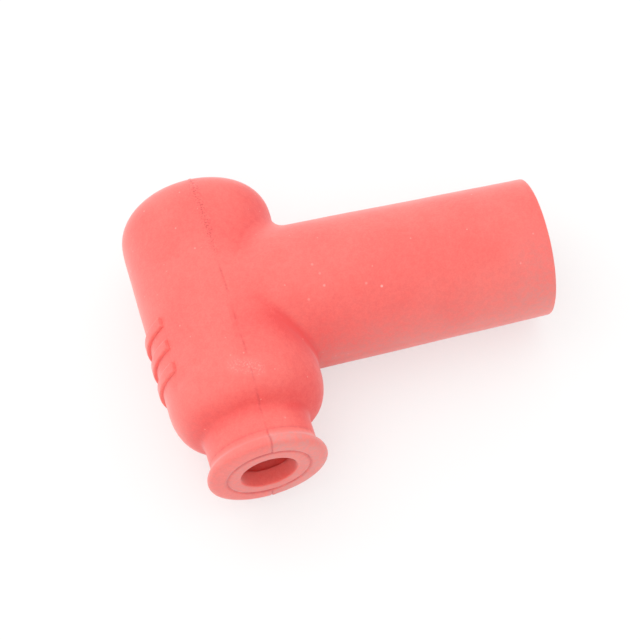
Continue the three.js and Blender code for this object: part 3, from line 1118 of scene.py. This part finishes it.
class CAP_OT_lead_screw(bpy.types.Operator):
    """Turns the pointed screw and cuts its thread"""

    bl_idname = "plug_cap.lead_screw"
    bl_label = "Lead screw"

    def execute(self, context):
        socket = context.scene.cap_socket
        core = socket.thread_radius - socket.thread_depth
        shoulder = -socket.radius - 2 * socket.gap
        corners = [
            (0, -socket.screw_tip, 0),
            (core, -socket.screw_point, 0),
            (core, shoulder, 0),
            (socket.screw_radius, shoulder, 0.1 * MM),
            (socket.screw_radius, socket.screw_inset, 0.2 * MM),
            (0, socket.screw_inset, 0),
        ]
        turned = spin_whole(spaced(rounded(corners, 4), 0.6 * MM), 48)
        screw = as_object(turned, "lead_screw_threaded")
        form = bmesh.new()
        half = 0.36 * socket.thread_pitch
        start = shoulder - half
        sunk = core - 0.1 * MM
        corners = [
            form.verts.new((radius, y, 0))
            for radius, y in ((sunk, start + half), (sunk, start - half), (socket.thread_radius, start))
        ]
        turns = (socket.screw_point + start - half) / socket.thread_pitch
        steps_a_turn = 36
        steps = int(turns * steps_a_turn)
        bmesh.ops.spin(
            form, geom=[form.faces.new(corners)], cent=(0, 0, 0), axis=(0, 1, 0),
            angle=2 * math.pi * turns, steps=steps,
            dvec=(0, -socket.thread_pitch * turns / steps, 0),
        )
        bmesh.ops.recalc_face_normals(form, faces=form.faces)
        combine(screw, form, "UNION")
        screw.data.transform(Matrix.Rotation(context.scene.cap_head.lean, 4, "Z"))
        material = turned_brass("threaded_brass", tool_marks=0.25 * MM)
        finish_piece(screw, "lead_screw", material, crease_angle=30)
        return {"FINISHED"}


class CAP_OT_stage(bpy.types.Operator):
    """Lays white paper under the cap, and sets the light and the camera"""

    bl_idname = "plug_cap.stage"
    bl_label = "Stage"

    def execute(self, context):
        lay_paper(context)
        light_world(context)
        hang_lamps(context)
        set_camera(context)
        context.scene.view_settings.view_transform = "Standard"
        return {"FINISHED"}


def light_paths(tree):
    """1 where the camera looks, straight or through a reflection or a transparent piece."""
    path = add_node(tree, "ShaderNodeLightPath")
    seen = path["Is Camera Ray"]
    for ray in ("Is Glossy Ray", "Is Transmission Ray"):
        seen = add_node(tree, "ShaderNodeMath", [seen, path[ray]], operation="MAXIMUM")[0]
    return seen


def lay_paper(context):
    """White paper: what is seen of it is mostly plain white, and the rest keeps the cap's shadow."""
    kept_shadow = 0.42
    form = bmesh.new()
    bmesh.ops.create_grid(form, x_segments=1, y_segments=1, size=1.5)
    paper = as_object(form, "paper")
    material, tree, shader = new_material("white_paper")
    shader.inputs["Base Color"].default_value = rgba(context.scene.cap_colours.floor)
    shader.inputs["Roughness"].default_value = 0.9
    shader.inputs["Specular IOR Level"].default_value = 0.1
    white = add_node(tree, "ShaderNodeEmission", {"Color": (1, 1, 1, 1), "Strength": 1.0})[0]
    inputs = [light_paths(tree), 1 - kept_shadow]
    share = add_node(tree, "ShaderNodeMath", inputs, operation="MULTIPLY")[0]
    surface = add_node(tree, "ShaderNodeMixShader", [share, shader.outputs[0], white])[0]
    tree.links.new(surface, tree.nodes["Material Output"].inputs["Surface"])
    paper.data.materials.append(material)


def light_world(context):
    """Light from all round, stronger from above and behind; what is seen of it is white."""
    dimmest, brightest = 0.48, 1.15
    dim_until = -0.6
    brighter_side = Vector((-0.15, 0.45, 0.88)).normalized()
    world = bpy.data.worlds.new("studio")
    context.scene.world = world
    world.use_nodes = True
    tree = world.node_tree
    tree.nodes.clear()
    inputs = [add_node(tree, "ShaderNodeTexCoord")["Generated"], brighter_side]
    facing = add_node(tree, "ShaderNodeVectorMath", inputs, operation="DOT_PRODUCT")["Value"]
    limits = [facing, dim_until, 1, dimmest, brightest]
    light = add_node(tree, "ShaderNodeMapRange", limits, **SMOOTH)[0]
    inputs = {0: light_paths(tree), 2: light, 3: 1.0}
    strength = add_node(tree, "ShaderNodeMix", inputs, data_type="FLOAT")[0]
    background = add_node(tree, "ShaderNodeBackground", {"Color": (1, 1, 1, 1), "Strength": strength})
    add_node(tree, "ShaderNodeOutputWorld", {"Surface": background[0]})


def hang_lamps(context):
    """One wide soft lamp above on the left, and a smaller one in front that reaches into the hole."""
    # Place, size across in metres and power in watts
    lamps = {
        "key": ((-0.20, 0.10, 0.44), 0.36, 0.28),
        "front": ((-0.10, -0.28, 0.40), 0.22, 0.2),
    }
    for name, (place, size, power) in lamps.items():
        light = bpy.data.lights.new(name, "AREA")
        light.shape = "DISK"
        light.size = size
        light.energy = power
        lamp = bpy.data.objects.new(name, light)
        lamp.location = place
        lamp.rotation_mode = "QUATERNION"
        lamp.rotation_quaternion = (-Vector(place)).to_track_quat("-Z", "Y")
        context.scene.collection.objects.link(lamp)


def set_camera(context):
    view = context.scene.cap_camera
    _, crossing = lying_down()
    right = Vector((math.cos(view.azimuth), math.sin(view.azimuth), 0))
    level = Vector((math.sin(view.azimuth), -math.cos(view.azimuth), 0))
    back = level * math.cos(view.elevation) + Vector((0, 0, math.sin(view.elevation)))
    up = back.cross(right)
    camera = bpy.data.objects.new("camera", bpy.data.cameras.new("camera"))
    camera.data.lens = view.lens
    camera.data.clip_start = 0.01
    camera.data.clip_end = 10
    camera.location = crossing + right * view.aim_across + up * view.aim_up + back * view.distance
    camera.rotation_mode = "QUATERNION"
    camera.rotation_quaternion = Matrix((right, up, back)).transposed().to_quaternion()
    context.scene.collection.objects.link(camera)
    context.scene.camera = camera


OPERATORS = [
    CAP_OT_rubber_boot,
    CAP_OT_plug_socket,
    CAP_OT_retaining_clip,
    CAP_OT_lead_screw,
    CAP_OT_stage,
]


class CAP_PT_panel(bpy.types.Panel):
    """Lists the cap's pieces and its sizes"""

    bl_idname = "CAP_PT_panel"
    bl_label = "Spark plug cap"
    bl_space_type = "VIEW_3D"
    bl_region_type = "UI"
    bl_category = "Plug cap"

    def draw(self, context):
        for operator in OPERATORS:
            self.layout.operator(operator.bl_idname)
        for name, group in GROUPS.items():
            box = self.layout.box()
            box.label(text=group.__doc__)
            for entry in group.__annotations__:
                box.prop(getattr(context.scene, name), entry)


def register():
    for group in GROUPS.values():
        bpy.utils.register_class(group)
    for name, group in GROUPS.items():
        setattr(bpy.types.Scene, name, PointerProperty(type=group))
    for item in (*OPERATORS, CAP_PT_panel):
        bpy.utils.register_class(item)


def unregister():
    for item in (CAP_PT_panel, *OPERATORS):
        bpy.utils.unregister_class(item)
    for name in GROUPS:
        delattr(bpy.types.Scene, name)
    for group in GROUPS.values():
        bpy.utils.unregister_class(group)


def main():
    register()
    for build in (
        bpy.ops.plug_cap.rubber_boot,
        bpy.ops.plug_cap.plug_socket,
        bpy.ops.plug_cap.retaining_clip,
        bpy.ops.plug_cap.lead_screw,
        bpy.ops.plug_cap.stage,
    ):
        build()


if __name__ == "__main__":
    main()
